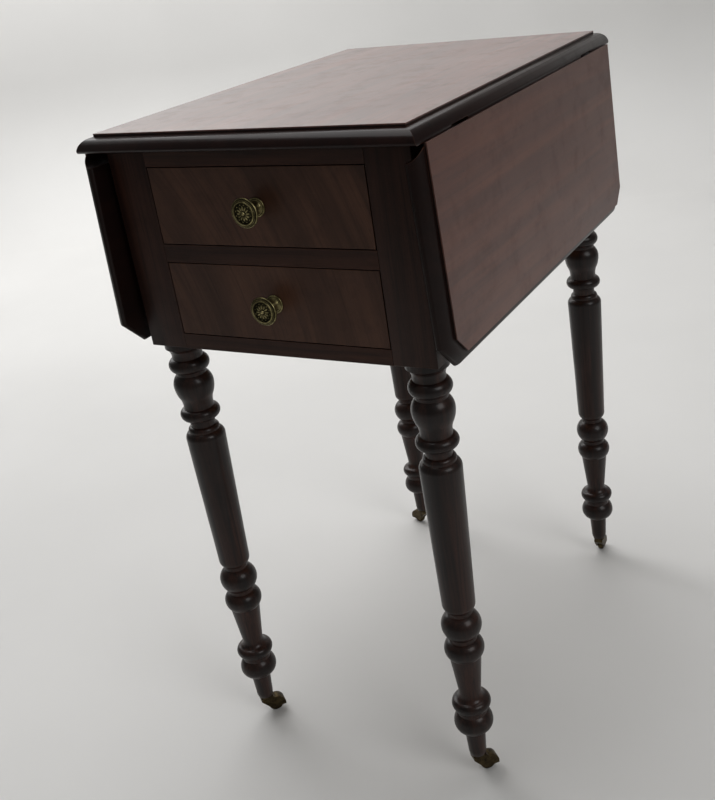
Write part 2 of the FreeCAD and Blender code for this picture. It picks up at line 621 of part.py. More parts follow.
def face_front(item, height):
    """Turn a piece made about +Z so that it faces the front of a drawer."""
    item.Placement = Placement(Vector(), Rotation(Vector(0, 0, 1), Vector(0, -1, 0)))
    item.setExpression("Placement.Base.y", bound("case_front"))
    item.setExpression("Placement.Base.z", bound(height))
    return item


def make_knob(name, height):
    """A turned brass knob, the rose behind it and the square nut on its stem inside the drawer."""
    face = "knob_reach"
    stem_low = "-(front_thick + nut_thick + stem_end)"
    profile = [("0", stem_low), ("stem", stem_low), ("stem", "rose_thick"),
               ("knob_neck + 1.8", "rose_thick"), ("knob_neck", "rose_thick + 4"),
               ("knob_neck", f"{face} - 13"), ("knob_radius - 1.5", f"{face} - 7.6"),
               ("knob_radius", f"{face} - 6.3"), ("knob_radius", f"{face} - 4.5"),
               ("knob_radius - 1.4", f"{face} - 2.6"), ("knob_radius - 2.2", f"{face} - 1.2"),
               ("knob_radius - 3.4", f"{face} - 1.2"), ("knob_radius - 4.2", f"{face} - 2.6"),
               ("knob_radius - 5.4", f"{face} - 1.6"), ("knob_radius - 6.2", f"{face} - 3.4"),
               ("3.6", f"{face} - 3.4"), ("2.6", f"{face} - 1"), ("0", face)]
    knob = turned(name + "_drawer_knob", profile, {5: ("knob_swell", 1)})
    rose = turned(name + "_drawer_knob_rose",
                  [("stem", "0"), ("rose_radius", "0"), ("rose_radius", "0.8"),
                   ("rose_radius - 1.6", "rose_thick"), ("stem", "rose_thick")])
    nut_blank = box(name + "_nut_blank", ("-nut / 2", "nut / 2"), ("-nut / 2", "nut / 2"),
                    ("-(front_thick + nut_thick)", "-front_thick"))
    stem = cylinder(name + "_nut_bore", "stem", "2 * nut_thick",
                    ("0", "0", "-(front_thick + 1.5 * nut_thick)"))
    nut = cut(name + "_drawer_knob_nut", nut_blank, [stem])
    return {f"{name}_drawer_knob": face_front(knob, height),
            f"{name}_drawer_knob_rose": face_front(rose, height),
            f"{name}_drawer_knob_nut": face_front(nut, height)}


def make_drawers():
    nodes = {}
    for name, opening in DRAWERS.items():
        height = f"({opening[0]} + {opening[1]}) / 2"
        hole = face_front(cylinder(name + "_knob_hole", "stem", "front_thick + 2", ("0", "0", "0")), height)
        hole.setExpression("Placement.Base.y", bound("case_front + front_thick + 1"))
        nodes.update(make_drawer(name, opening, hole))
        nodes.update(make_knob(name, height))
    return nodes


# ---------------------------------------------------------------- legs
def half_bead(out, neck, height):
    """The radius of the arc that rises from a neck to a bead's fullest point over a height."""
    return f"(({height}) ^ 2 + ({out} - ({neck})) ^ 2) / (2 * ({out} - ({neck})))"


def leg_profile():
    """The turned part's outline from the case down, as (radius, height) corners and their arcs."""
    points, arcs = [("0", "floor_to_case"), ("collar", "floor_to_case"), ("collar", "collar_low")], {}

    def line_to(out, height):
        points.append((out, height))

    def arc_to(out, height, radius, turning):
        arcs[len(points) - 1] = (radius, turning)
        points.append((out, height))

    def bead(name, neck_above, neck_below):
        out, middle, half = name + "_out", name, name + "_half"
        line_to(neck_above, f"{middle} + {half}")
        arc_to(out, middle, half_bead(out, neck_above, half), -1)
        arc_to(neck_below, f"{middle} - {half}", half_bead(out, neck_below, half), -1)

    arc_to("high_neck", "collar_end", "collar_cove", 1)
    bead("ring_one", "high_neck", "high_neck")
    line_to("high_neck", "urn_top")
    arc_to("urn_out", "urn", half_bead("urn_out", "high_neck", "urn_top - urn"), -1)
    arc_to("urn_waist_out", "urn_waist",
           half_bead("urn_out", "urn_waist_out", "urn - urn_waist"), -1)
    arc_to("high_neck", "urn_end", "urn_cove", 1)
    bead("ring_two", "high_neck", "neck")
    line_to("neck", "shaft_start")
    arc_to("shaft_out", "shaft_top", half_bead("shaft_out", "neck", "shaft_start - shaft_top"), -1)
    line_to("shaft_in", "shaft_bottom")
    arc_to("neck - 0.4", "shaft_end", half_bead("shaft_in", "neck - 0.4", "shaft_bottom - shaft_end"), -1)
    bead("ball_one", "neck - 0.4", "neck + 1.2")
    bead("ring_three", "neck + 1.2", "cone_top_out")
    line_to("cone_foot_out", "cone_foot")
    arc_to("ring_four_in", "ring_four_top", "ring_four_cove", 1)
    arc_to("ring_four_out", "ring_four",
           half_bead("ring_four_out", "ring_four_in", "ring_four_top - ring_four"), -1)
    arc_to("high_neck", "ring_four_end",
           half_bead("ring_four_out", "high_neck", "ring_four - ring_four_end"), -1)
    bead("ball_two", "high_neck", "foot_out")
    line_to("foot_in", "foot_turn")
    arc_to("leg_end_out", "leg_end", "foot_round", -1)
    line_to("0", "leg_end")
    return points, arcs


def leg_middle(end, side):
    across = f"{side} * ({HALF} - post / 2)"
    deep = "case_front + post / 2" if end == "front" else f"{BACK} - post / 2"
    return across, deep


def make_leg(name, end, side, mortises, screw_tools):
    """The square post at the case's corner and the turned leg under it, one piece of wood."""
    body = new_body(name + "_leg_turned")
    square = new_sketch(body, "XY_Plane", name + "_post_outline", lift="floor_to_case")
    draw(square, [("-post / 2", "-post / 2"), ("post / 2", "-post / 2"), ("post / 2", "post / 2"),
                  ("-post / 2", "post / 2")])
    pad(body, square, name + "_post", f"{CASE_TOP} - floor_to_case")
    profile = new_sketch(body, "XZ_Plane", name + "_leg_profile")
    points, arcs = leg_profile()
    draw(profile, points, arcs)
    turn_about(body, profile, name + "_leg_turning")
    across, deep = leg_middle(end, side)
    body.setExpression("Placement.Base.x", bound(across))
    body.setExpression("Placement.Base.y", bound(deep))
    return cut(name + "_leg", body, mortises + screw_tools)


# ---------------------------------------------------------------- castors
PLATE_LOW = "leg_end - plate_thick"
BOSS_TOP = "leg_end - plate_thick - swivel_gap"
BOSS_LOW = "leg_end - plate_thick - swivel_gap - horn_boss"


def stand_at(item, name, end, side, turn=0):
    """Put a piece made about the swivel axis under its leg, turned to where the castor trails."""
    item.Placement = Placement(Vector(), Rotation(Vector(0, 0, 1), turn))
    for axis, text in zip("xy", leg_middle(end, side)):
        item.setExpression(f"Placement.Base.{axis}", bound(text))
    return item


def make_plate(name, end, side, screws):
    """The round plate under the leg, with the pintle and the rivet head that holds the horn up."""
    disc = turned(name + "_plate_turned",
                  [("0", "leg_end"), ("plate_radius", "leg_end"), ("plate_radius", PLATE_LOW),
                   ("pintle", PLATE_LOW), ("pintle", f"{BOSS_LOW} - swivel_gap"),
                   ("rivet", f"{BOSS_LOW} - swivel_gap"), ("rivet", f"{BOSS_LOW} - swivel_gap - rivet_thick"),
                   ("0", f"{BOSS_LOW} - swivel_gap - rivet_thick - 0.6")])
    return stand_at(cut(name + "_plate", disc, screws), name, end, side)


def plate_screw_spots():
    return [(f"plate_screw_out * cos({angle} deg)", f"plate_screw_out * sin({angle} deg)")
            for angle in (30, 150, 270)]


def plate_screw(label, room="0"):
    low = f"{PLATE_LOW} - ({room})"
    return turned(label, [("0", low), (f"plate_screw + 0.9 + {room}", low),
                          (f"plate_screw + {room}", f"{PLATE_LOW} + 1"),
                          (f"plate_screw + {room}", f"{PLATE_LOW} + plate_screw_length - 1.5"),
                          ("0", f"{PLATE_LOW} + plate_screw_length + {room}")])


def make_horn(name, end, side):
    """The brass horn: a boss on the pintle and a hood over the wheel, with the axle through it."""
    body = new_body(name + "_horn_cast")
    outline = new_sketch(body, "XZ_Plane", name + "_horn_outline")
    hood_end = "trail + sqrt(horn_hood ^ 2 - (wheel_radius - horn_low) ^ 2)"
    draw(outline, [("-boss_out", BOSS_TOP), ("-boss_out", f"{BOSS_LOW} - 0.6"), ("4", "horn_low"),
                   (hood_end, "horn_low"), ("trail", "wheel_radius + horn_hood"), ("boss_out", BOSS_TOP)],
         {3: ("horn_hood", 1)})
    pad(body, outline, name + "_horn_width", "horn_width", centred=True)
    slot = new_sketch(body, "XZ_Plane", name + "_horn_slot_outline")
    low = "horn_low - 3"
    half_chord = "sqrt(horn_slot ^ 2 - (wheel_radius - horn_low) ^ 2)"
    draw(slot, [(f"trail - {half_chord}", "horn_low"), (f"trail - {half_chord}", low),
                (f"trail + {half_chord}", low), (f"trail + {half_chord}", "horn_low"),
                ("trail", "wheel_radius + horn_slot")], {3: ("horn_slot", 1), 4: ("horn_slot", 1)})
    pocket(body, slot, name + "_horn_slot", "wheel_width + 0.8", centred=True)
    tools = [cylinder(name + "_pintle_bore", "pintle + turning_gap", "12", ("0", "0", f"{BOSS_LOW} - 1")),
             cylinder(name + "_rivet_room", "rivet + 0.4", "12", ("0", "0", f"{BOSS_LOW} - 12")),
             cylinder(name + "_axle_hole", "axle", "horn_width + 2",
                      ("trail", "-(horn_width / 2 + 1)", "wheel_radius"), Vector(0, 1, 0))]
    return stand_at(cut(name + "_castor_horn", body, tools), name, end, side, CASTOR_TURNS[name])


def make_wheel(name, end, side):
    wheel = turned(name + "_wheel_turned",
                   [("axle + turning_gap", "-wheel_width / 2"), ("wheel_radius - 1", "-wheel_width / 2"),
                    ("wheel_radius", "-wheel_width / 2 + 1"), ("wheel_radius", "wheel_width / 2 - 1"),
                    ("wheel_radius - 1", "wheel_width / 2"), ("axle + turning_gap", "wheel_width / 2")])
    wheel.Placement = Placement(Vector(), Rotation(Vector(0, 0, 1), Vector(0, 1, 0)))
    wheel.setExpression("Placement.Base.x", bound("trail"))
    wheel.setExpression("Placement.Base.z", bound("wheel_radius"))
    return stand_at(group(name + "_castor_wheel", [wheel]), name, end, side, CASTOR_TURNS[name])


def make_axle(name, end, side):
    axle = cylinder(name + "_axle_rod", "axle", "horn_width", ("trail", "-horn_width / 2", "wheel_radius"),
                    Vector(0, 1, 0))
    return stand_at(group(name + "_castor_axle", [axle]), name, end, side, CASTOR_TURNS[name])


def make_legs_and_castors(tenons):
    nodes, plates, plate_screws = {}, [], []
    for name in CASTOR_TURNS:
        end, side_name = name.split("_")
        side = SIDES[side_name]
        holes, screws = [], []
        for number, (out, along) in enumerate(plate_screw_spots()):
            hole = plate_screw(f"{name}_plate_hole_{number}", "0.03")
            screw = plate_screw(f"{name}_plate_screw_{number}")
            for item in (hole, screw):
                item.setExpression("Placement.Base.x", bound(out))
                item.setExpression("Placement.Base.y", bound(along))
            holes.append(hole)
            screws.append(screw)
        drilled = stand_at(group(name + "_plate_holes", holes), name, end, side)
        nodes[name + "_leg"] = make_leg(name, end, side, tenons[name], [drilled])
        plates.append(make_plate(name, end, side, holes))
        plate_screws.append(stand_at(group(name + "_plate_screws", screws), name, end, side))
        nodes[name + "_castor_horn"] = make_horn(name, end, side)
        nodes[name + "_castor_wheel"] = make_wheel(name, end, side)
        nodes[name + "_castor_axle"] = make_axle(name, end, side)
    nodes["castor_plates"] = group("castor_plates", plates)
    nodes["castor_screws"] = group("castor_screws", plate_screws)
    return nodes


# ---------------------------------------------------------------- the whole table
def check(nodes):
    """Stop if anything failed to build."""
    broken = [item.Name for item in doc.Objects if {"Invalid", "Error"} & set(item.State)]
    if broken:
        raise RuntimeError("failed objects: " + ", ".join(broken))
    for name, node in nodes.items():
        if node.Shape.isNull() or not node.Shape.isValid() or not node.Shape.Solids:
            raise RuntimeError("bad shape: " + name)


tenons = {name: [] for name in CASTOR_TURNS}
nodes = make_leaves_and_hinges()
nodes.update(make_rails(tenons))
nodes.update(make_sides(tenons))
nodes.update(make_back(tenons))
nodes.update(make_drawer_ways())
screw_top_down(nodes)
nodes.update(make_drawers())
nodes.update(make_legs_and_castors(tenons))
for node_name, node in nodes.items():
    node.Label = node_name
doc.recompute()
check(nodes)

os.makedirs("parts", exist_ok=True)
for node_name, node in nodes.items():
    node.Shape.exportStep(f"parts/{node_name}.step")
    print(f"{node_name:32s} {len(node.Shape.Solids):2d} solids {node.Shape.Volume / 1000:9.1f} cm3")
everything = Part.makeCompound([node.Shape for node in nodes.values()]).BoundBox
print(len(nodes), "nodes,", everything)
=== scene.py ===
# %% [markdown]
# # A Victorian drop-leaf sewing table
# The real table is a small mahogany case with two drawers on four turned legs. Its top carries a
# raised field, a fillet and a quarter-round ovolo, and a leaf hangs on each side. The design model
# gives every part its place and size. This script only dresses it: it keeps the boards and the
# castors, makes the legs, knobs and roses again with finer surfaces, and gives every part its finish.
# %% Load the frame
import json
import math

import bmesh
import bpy
from mathutils import Matrix, Vector, noise


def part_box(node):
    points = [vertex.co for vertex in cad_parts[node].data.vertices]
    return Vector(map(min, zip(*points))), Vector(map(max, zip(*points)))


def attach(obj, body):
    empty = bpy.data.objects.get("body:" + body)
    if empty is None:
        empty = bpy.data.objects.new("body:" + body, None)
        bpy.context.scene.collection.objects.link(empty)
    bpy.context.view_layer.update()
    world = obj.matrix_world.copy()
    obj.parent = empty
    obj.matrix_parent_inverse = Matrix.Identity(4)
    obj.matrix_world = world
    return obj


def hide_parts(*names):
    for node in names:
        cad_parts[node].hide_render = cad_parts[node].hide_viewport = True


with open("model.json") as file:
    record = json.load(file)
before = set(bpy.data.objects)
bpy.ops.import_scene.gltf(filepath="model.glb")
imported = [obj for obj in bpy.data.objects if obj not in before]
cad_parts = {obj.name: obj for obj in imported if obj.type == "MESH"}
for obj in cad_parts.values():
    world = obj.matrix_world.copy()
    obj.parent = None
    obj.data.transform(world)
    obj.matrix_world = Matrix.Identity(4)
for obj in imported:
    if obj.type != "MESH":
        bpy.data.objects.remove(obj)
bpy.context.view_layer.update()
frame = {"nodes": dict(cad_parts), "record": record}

MM = 0.001
record_slot = {part["node"]: part["material_slot"] for part in frame["record"]["subparts"]}

# %% [markdown]
# ## Camera
# A work table is seen from a little above its top and from its right, as someone walking up to it
# sees it. The camera stands a little over a metre away, as it must in a small room, so near parts
# look much larger than far ones. Its small roll makes the legs lean, and its shift slides the view
# sideways and down without turning the lens.
# %% Camera
CAMERA_PLACE = (0.5795, -1.0039, 0.8937)
CAMERA_TURN = (66.44, 7.29, 26.98)
LENS, SENSOR = 46.6, 36.0

scene = bpy.context.scene
camera_data = bpy.data.cameras.new("studio_camera")
camera_data.lens, camera_data.sensor_width = LENS, SENSOR
camera_data.shift_x, camera_data.shift_y = -0.0615, -0.0404
camera = bpy.data.objects.new("studio_camera", camera_data)
camera.location = CAMERA_PLACE
camera.rotation_euler = [math.radians(angle) for angle in CAMERA_TURN]
scene.collection.objects.link(camera)
scene.camera = camera
print("camera", CAMERA_PLACE, "lens", LENS)

# %% [markdown]
# ## Node helpers
# A finish is a small network of nodes. One function adds a node, sets its options and joins its
# inputs, so that each finish below reads as a list of steps. Colours are written as the hex values
# a paint chart would give, and one function turns them into the linear light that Blender works in.
# %% Node helpers
def linear(hex_colour):
    """An sRGB hex colour as linear red, green, blue and alpha."""
    channels = [int(hex_colour[i:i + 2], 16) / 255 for i in (1, 3, 5)]
    return [c / 12.92 if c <= 0.04045 else ((c + 0.055) / 1.055) ** 2.4 for c in channels] + [1.0]


def add(tree, kind, inputs=None, **settings):
    """Add a node, set its options, and fill or link its inputs."""
    node = tree.nodes.new(kind)
    for name, setting in settings.items():
        setattr(node, name, setting)
    for name, given in (inputs or {}).items():
        if isinstance(given, bpy.types.NodeSocket):
            tree.links.new(given, node.inputs[name])
        else:
            node.inputs[name].default_value = given
    return node


def new_material(name):
    material = bpy.data.materials.new(name)
    material.use_nodes = True
    material.node_tree.nodes.clear()
    return material, material.node_tree


def finish_material(tree, shader):
    add(tree, "ShaderNodeOutputMaterial", {"Surface": shader.outputs[0]})


# %% [markdown]
# ## Room
# A table in a bare studio stands on a pale floor that curves up into a pale wall. The polished top
# mirrors that wall, so the wall matters as much as the lamps: most of what the eye reads as polish
# is the reflection of it. The sweep is one profile extruded sideways.
# %% Floor and wall
def make_sweep():
    tools = bmesh.new()
    reach, turn, height, half_width = 2.6, 0.5, 3.2, 4.0
    outline = [(-6.0, 0.0), (reach - turn, 0.0)]
    outline += [(reach - turn + turn * math.sin(a), turn - turn * math.cos(a))
                for a in map(math.radians, range(10, 100, 10))]
    outline.append((reach, height))
    spots = [tools.verts.new((-half_width, y, z)) for y, z in outline]
    edges = [tools.edges.new(pair) for pair in zip(spots, spots[1:])]
    made = bmesh.ops.extrude_edge_only(tools, edges=edges)["geom"]
    moved = [item for item in made if isinstance(item, bmesh.types.BMVert)]
    bmesh.ops.translate(tools, verts=moved, vec=(2 * half_width, 0, 0))
    bmesh.ops.rotate(tools, verts=tools.verts, cent=(0, 0, 0),
                     matrix=Matrix.Rotation(math.radians(20), 3, "Z"))
    bmesh.ops.recalc_face_normals(tools, faces=tools.faces)
    mesh = bpy.data.meshes.new("studio_sweep")
    tools.to_mesh(mesh)
    tools.free()
    for face in mesh.polygons:
        face.use_smooth = True
    sweep = bpy.data.objects.new("studio_sweep", mesh)
    scene.collection.objects.link(sweep)
    return sweep


def painted_floor():
    """Matt white emulsion paint, with the faint unevenness of a rolled coat."""
    material, tree = new_material("white_emulsion_paint")
    place = add(tree, "ShaderNodeTexCoord").outputs["Object"]
    patches = add(tree, "ShaderNodeTexNoise", {"Vector": place, "Scale": 2.0, "Detail": 4.0})
    colour = add(tree, "ShaderNodeValToRGB", {"Fac": patches.outputs["Fac"]})
    colour.color_ramp.elements[0].color = linear("#CBCAC8")
    colour.color_ramp.elements[1].color = linear("#D8D7D5")
    finish_material(tree, add(tree, "ShaderNodeBsdfPrincipled",
                              {"Base Color": colour.outputs["Color"], "Roughness": 0.6}))
    return material


sweep = make_sweep()
sweep.data.materials.append(painted_floor())
print("sweep stands", round(max(v.co.z for v in sweep.data.vertices), 2), "m high")

# %% [markdown]
# ## Light
# Soft daylight falls from above and behind the table, where the pale walls are, so the top mirrors a
# bright wall while the drawer fronts stay in the shade. One large lamp stands in for the sky, one on
# each side for a window, and a fourth lights the wall that the top mirrors. Large lamps give the
# long soft highlights down the turned legs, and a dim even world fills the deepest shadows.
# %% Lamps and world
def area_lamp(name, place, target, size, power):
    data = bpy.data.lights.new(name, "AREA")
    data.shape, data.size, data.energy = "SQUARE", size, power
    lamp = bpy.data.objects.new(name, data)
    lamp.location = place
    lamp.rotation_euler = (Vector(target) - Vector(place)).to_track_quat("-Z", "Y").to_euler()
    scene.collection.objects.link(lamp)


area_lamp("skylight", (-0.7, 0.8, 3.1), (-0.3, 0.5, 0.3), 3.0, 72)
area_lamp("window_left", (-2.9, 1.2, 1.8), (0, 0.6, 0.5), 1.8, 24)
area_lamp("window_right", (2.6, -0.9, 2.2), (0.6, -0.4, 0.0), 1.6, 26)
area_lamp("wall_wash", (-2.1, 1.0, 2.3), (-1.9, 2.6, 1.2), 1.2, 23)
world = bpy.data.worlds.new("pale_room")
world.use_nodes = True
world.node_tree.nodes["Background"].inputs["Color"].default_value = linear("#E2E2E0")
world.node_tree.nodes["Background"].inputs["Strength"].default_value = 0.2
scene.world = world
scene.view_settings.view_transform = "Standard"

# %% [markdown]
# ## Mahogany
# The table is Cuban or Honduras mahogany under French polish, which is shellac rubbed on by hand.
# Close up, the eye reads four things: broad red and brown stripes, darker growth lines along the
# grain, short open pores about 0.2 mm wide and a few mm long, and a soft shine that is duller where
# hands and dust have been. Edges wear pale, and hollows and gaps go black: partly old wax, partly
# painted shade, since an ambient occlusion node darkens whatever is enclosed.
#
# Each is one noise texture stretched along the grain. Stretching is a matter of scaling the
# coordinates less along the grain than across it, and the scales below are one over the real size.
# The drawer fronts are veneer cut where a branch leaves the trunk, so there the grain runs in arcs:
# the distance from a far point takes the place of the width across the grain.
# %% Grain
def ramp(tree, value, stops):
    """0 at the first stop, 1 at the second, straight between them and level beyond."""
    node = add(tree, "ShaderNodeMapRange", {"Value": value, "From Min": stops[0], "From Max": stops[1]})
    return node.outputs["Result"]


def mix(tree, amount, first, second):
    """Mix two colours; either may be a hex colour or a socket."""
    node = add(tree, "ShaderNodeMix", data_type="RGBA")
    for socket, given in ((0, amount), (6, first), (7, second)):
        if isinstance(given, bpy.types.NodeSocket):
            tree.links.new(given, node.inputs[socket])
        else:
            node.inputs[socket].default_value = linear(given) if isinstance(given, str) else given
    return node.outputs[2]


def maths(tree, operation, first, second=0.0):
    node = add(tree, "ShaderNodeMath", operation=operation)
    for socket, given in ((0, first), (1, second)):
        if isinstance(given, bpy.types.NodeSocket):
            tree.links.new(given, node.inputs[socket])
        else:
            node.inputs[socket].default_value = given
    return node.outputs[0]


def share(tree, amount, most):
    """A mask at a part of its strength."""
    return maths(tree, "MULTIPLY", amount, most)


def grain(tree, place, along, across, axis, **detail):
    """Noise in units of a feature's length along the grain and its width across it, in mm."""
    sizes = [across, across, across]
    sizes["XYZ".index(axis)] = along
    per_metre = [1 / (MM * size) for size in sizes]
    scaled = add(tree, "ShaderNodeMapping", {"Vector": place, "Scale": per_metre})
    inputs = {"Vector": scaled.outputs["Vector"], "Scale": 1.0} | detail
    return add(tree, "ShaderNodeTexNoise", inputs).outputs["Fac"]


def vector_maths(tree, operation, first, second=None):
    inputs = {0: first} if second is None else {0: first, 1: second}
    node = add(tree, "ShaderNodeVectorMath", inputs, operation=operation)
    return node.outputs["Value" if operation in ("LENGTH", "DOT_PRODUCT") else "Vector"]


def flattened(tree, place, keep):
    """Coordinates whose X is the distance from the origin along the axes kept, and whose Z is their own."""
    spread = vector_maths(tree, "LENGTH", vector_maths(tree, "MULTIPLY", place, keep))
    parts = add(tree, "ShaderNodeSeparateXYZ", {"Vector": place})
    joined = add(tree, "ShaderNodeCombineXYZ", {"X": spread, "Z": parts.outputs["Z"]})
    return joined.outputs["Vector"]


def crotch_grain(tree, place, centre_mm):
    """Coordinates that bend round a far point: the width across the grain is the distance from it."""
    moved = vector_maths(tree, "SUBTRACT", place, [c * MM for c in centre_mm])
    return flattened(tree, moved, (1, 0, 1))


def worn_edges(tree, radius_mm):
    """1 on the arrises, 0 on flat faces: how far a rounded normal leans from the real one."""
    rounded = add(tree, "ShaderNodeBevel", {"Radius": radius_mm * MM}, samples=4).outputs["Normal"]
    real = add(tree, "ShaderNodeNewGeometry").outputs["Normal"]
    return ramp(tree, vector_maths(tree, "DOT_PRODUCT", rounded, real), (0.985, 0.86))


def hollows(tree, reach_mm, stops):
    """1 deep in a hollow or a gap, 0 in the open."""
    enclosed = add(tree, "ShaderNodeAmbientOcclusion", {"Distance": reach_mm * MM}, samples=6)
    return ramp(tree, enclosed.outputs["AO"], stops)


print("grain, hollows and worn edges can be read")

# %% [markdown]
# ## French polish
# The same wood takes a different look on each part. The flat fields of the top and the leaves are
# redder and glossier than their mouldings. A plain measure of depth below the field blackens the
# moulding and everything else under the field, the undersides and a hanging leaf's inner face too;
# this black is painted shade. Old polish has blackened the fullest rings of the legs, and each leg
# carries how full each ring is as a value called proud.
# %% Mahogany
# The first colour is old wax on the legs' fullest rings, and in hollows and gaps it is painted shade as
# well; the second is painted shade laid under each field.
OLD_WAX_AND_SHADE, UNDER_FIELD_SHADE, INK, BARE_EDGE = "#0B0706", "#0C0808", "#0B0808", "#6E4836"


def moulding_depth(tree, place, outwards, face_mm):
    """1 on whatever lies more than a mm under a field's face, which is face_mm out from the origin."""
    out = vector_maths(tree, "DOT_PRODUCT", flattened(tree, place, (1, 0, 0)), outwards)
    return ramp(tree, out, ((face_mm - 0.6) * MM, (face_mm - 1.6) * MM))


def ink_spots(tree, place):
    """Small round stains, one to a cell of about 60 mm, most of them too small to see."""
    cells = add(tree, "ShaderNodeTexVoronoi", {"Vector": place, "Scale": 16.0, "Randomness": 1.0})
    chance = add(tree, "ShaderNodeSeparateColor", {"Color": cells.outputs["Color"]}).outputs["Red"]
    reach = share(tree, maths(tree, "POWER", chance, 3.0), 0.055)
    return ramp(tree, maths(tree, "SUBTRACT", reach, cells.outputs["Distance"]), (0.0, 0.02))


def layered(tree, colour, layers):
    """Lay each (mask, strength, colour) over the last."""
    for mask, strength, over in layers:
        colour = mix(tree, share(tree, mask, strength), colour, over)
    return colour


def total(tree, operation, first, parts):
    """Add or subtract each (mask, strength) in turn."""
    for mask, strength in parts:
        first = maths(tree, operation, first, share(tree, mask, strength))
    return first


def mahogany(name, axis, dark, middle, light, figure=(420, 17), lines=0.5, gloss=0.42, shine=0.25,
             coat=0.1, wear=0.3, spots=0.0, grime=0.3, relief=0.3, field=None, centre=None):
    """French-polished mahogany: satin shellac over open-pored red-brown wood."""
    material, tree = new_material(name)
    place = add(tree, "ShaderNodeTexCoord").outputs["Object"]
    wood = crotch_grain(tree, place, centre) if centre else place
    stripes = grain(tree, wood, *figure, axis, Detail=3.0, Distortion=0.6)
    growth = grain(tree, wood, 150, 4.5, axis, Detail=4.0, Roughness=0.6, Distortion=0.5)
    fine = grain(tree, wood, 45, 1.2, axis, Detail=2.0)
    # pores are drawn 0.5 mm wide, twice their real width, so that they show at arm's length
    pores = ramp(tree, grain(tree, wood, 8, 0.5, axis, Detail=1.0), (0.62, 0.72))
    clouds = ramp(tree, grain(tree, place, 110, 75, axis, Detail=5.0, Roughness=0.6), (0.36, 0.66))
    dirt = ramp(tree, grain(tree, place, 30, 30, "X", Detail=6.0, Roughness=0.65), (0.5, 0.72))
    rubs = ramp(tree, grain(tree, place, 55, 1.5, "X", Detail=3.0), (0.68, 0.78))
    colour = layered(tree, mix(tree, ramp(tree, stripes, (0.36, 0.64)), middle, light), [
        (ramp(tree, growth, (0.5, 0.68)), lines, dark),
        (ramp(tree, fine, (0.46, 0.72)), 0.6 * lines, dark),
        (pores, 0.5, dark),
        (clouds, 0.5 * grime, dark),
        (dirt, grime, dark),
        (rubs, 0.2, light),
        # painted shade over old wax: ambient occlusion blackens the hollows, coves and gaps
        (hollows(tree, 9, (0.78, 0.35)), 0.7, OLD_WAX_AND_SHADE)])
    if field:
        # painted shade: the moulding, the undersides and a leaf's inner face are blackened
        below = moulding_depth(tree, place, *field)
        colour = layered(tree, colour, [(below, 0.93, UNDER_FIELD_SHADE)])
        above = total(tree, "SUBTRACT", 1.0, [(below, 0.72)])
        shine, coat = share(tree, above, shine), share(tree, above, coat)
    if spots:
        colour = layered(tree, colour, [(ink_spots(tree, place), spots, INK)])
    proud = add(tree, "ShaderNodeAttribute", attribute_name="proud").outputs["Fac"]
    colour = layered(tree, colour, [
        (maths(tree, "MULTIPLY", proud, ramp(tree, dirt, (1.0, 0.5))), 0.55, OLD_WAX_AND_SHADE),
        (maths(tree, "MULTIPLY", worn_edges(tree, 1.1), ramp(tree, clouds, (1.0, 0.3))), wear, BARE_EDGE)])
    rough = total(tree, "ADD", gloss, [(dirt, 0.08), (clouds, 0.04), (rubs, 0.06)])
    height = total(tree, "SUBTRACT", share(tree, growth, 0.2), [(pores, 0.2), (fine, 0.12)])
    bump = add(tree, "ShaderNodeBump", {"Height": height, "Strength": relief, "Distance": 0.0003})
    finish_material(tree, add(tree, "ShaderNodeBsdfPrincipled", {
        "Base Color": colour, "Roughness": rough, "Specular IOR Level": shine,
        "Normal": bump.outputs["Normal"], "Coat Weight": coat, "Coat Roughness": 0.16, "Coat IOR": 1.5}))
    return material


# a leaf hangs 2.4 degrees out, and its face lies a board's thickness out from the hinge pin
TABLE_HEIGHT, BOARD, PIN_OUT, PIN_HEIGHT = 740, 17, 172, 723
LEAF_STAND = math.radians(2.4)
LEAF_OUT = (math.cos(LEAF_STAND), 0, math.sin(LEAF_STAND))
LEAF_FACE = PIN_OUT * LEAF_OUT[0] + PIN_HEIGHT * LEAF_OUT[2] + BOARD
FINISHES = {
    "top": mahogany("polished_mahogany_top", "Y", "#2A100B", "#55251B", "#71392A", gloss=0.28, shine=0.4,
                    coat=0.56, spots=0.9, lines=0.5, grime=0.15, relief=0.03,
                    field=((0, 0, 1), TABLE_HEIGHT)),
    "leaf": mahogany("polished_mahogany_leaf", "Y", "#2C130D", "#4E271B", "#613423", gloss=0.38, shine=0.45,
                     coat=0.28, spots=0.5, lines=0.2, grime=0.2, field=(LEAF_OUT, LEAF_FACE)),
    "board": mahogany("polished_mahogany_side_board", "Y", "#1C0D09", "#3A1D15", "#4A281B", shine=0.2,
                      coat=0.05),
    "upright": mahogany("polished_mahogany_post", "Z", "#100706", "#27150F", "#3B231A", shine=0.18,
                        coat=0.05),
    "rail": mahogany("polished_mahogany_rail", "X", "#110806", "#2B1710", "#40261B", shine=0.18,
                     coat=0.05),
    "drawer": mahogany("flame_mahogany_veneer", "Z", "#1B0C07", "#3F281D", "#533729", figure=(260, 34),
                       lines=0.34, shine=0.2, coat=0.08, centre=(-420, 0, 480)),
    "turned": mahogany("turned_mahogany", "Z", "#080505", "#1C100D", "#3A221A", figure=(300, 9),
                       gloss=0.38, shine=0.2, coat=0.24, wear=0.2, lines=0.7),
}
print("mahogany finishes:", sorted(FINISHES))
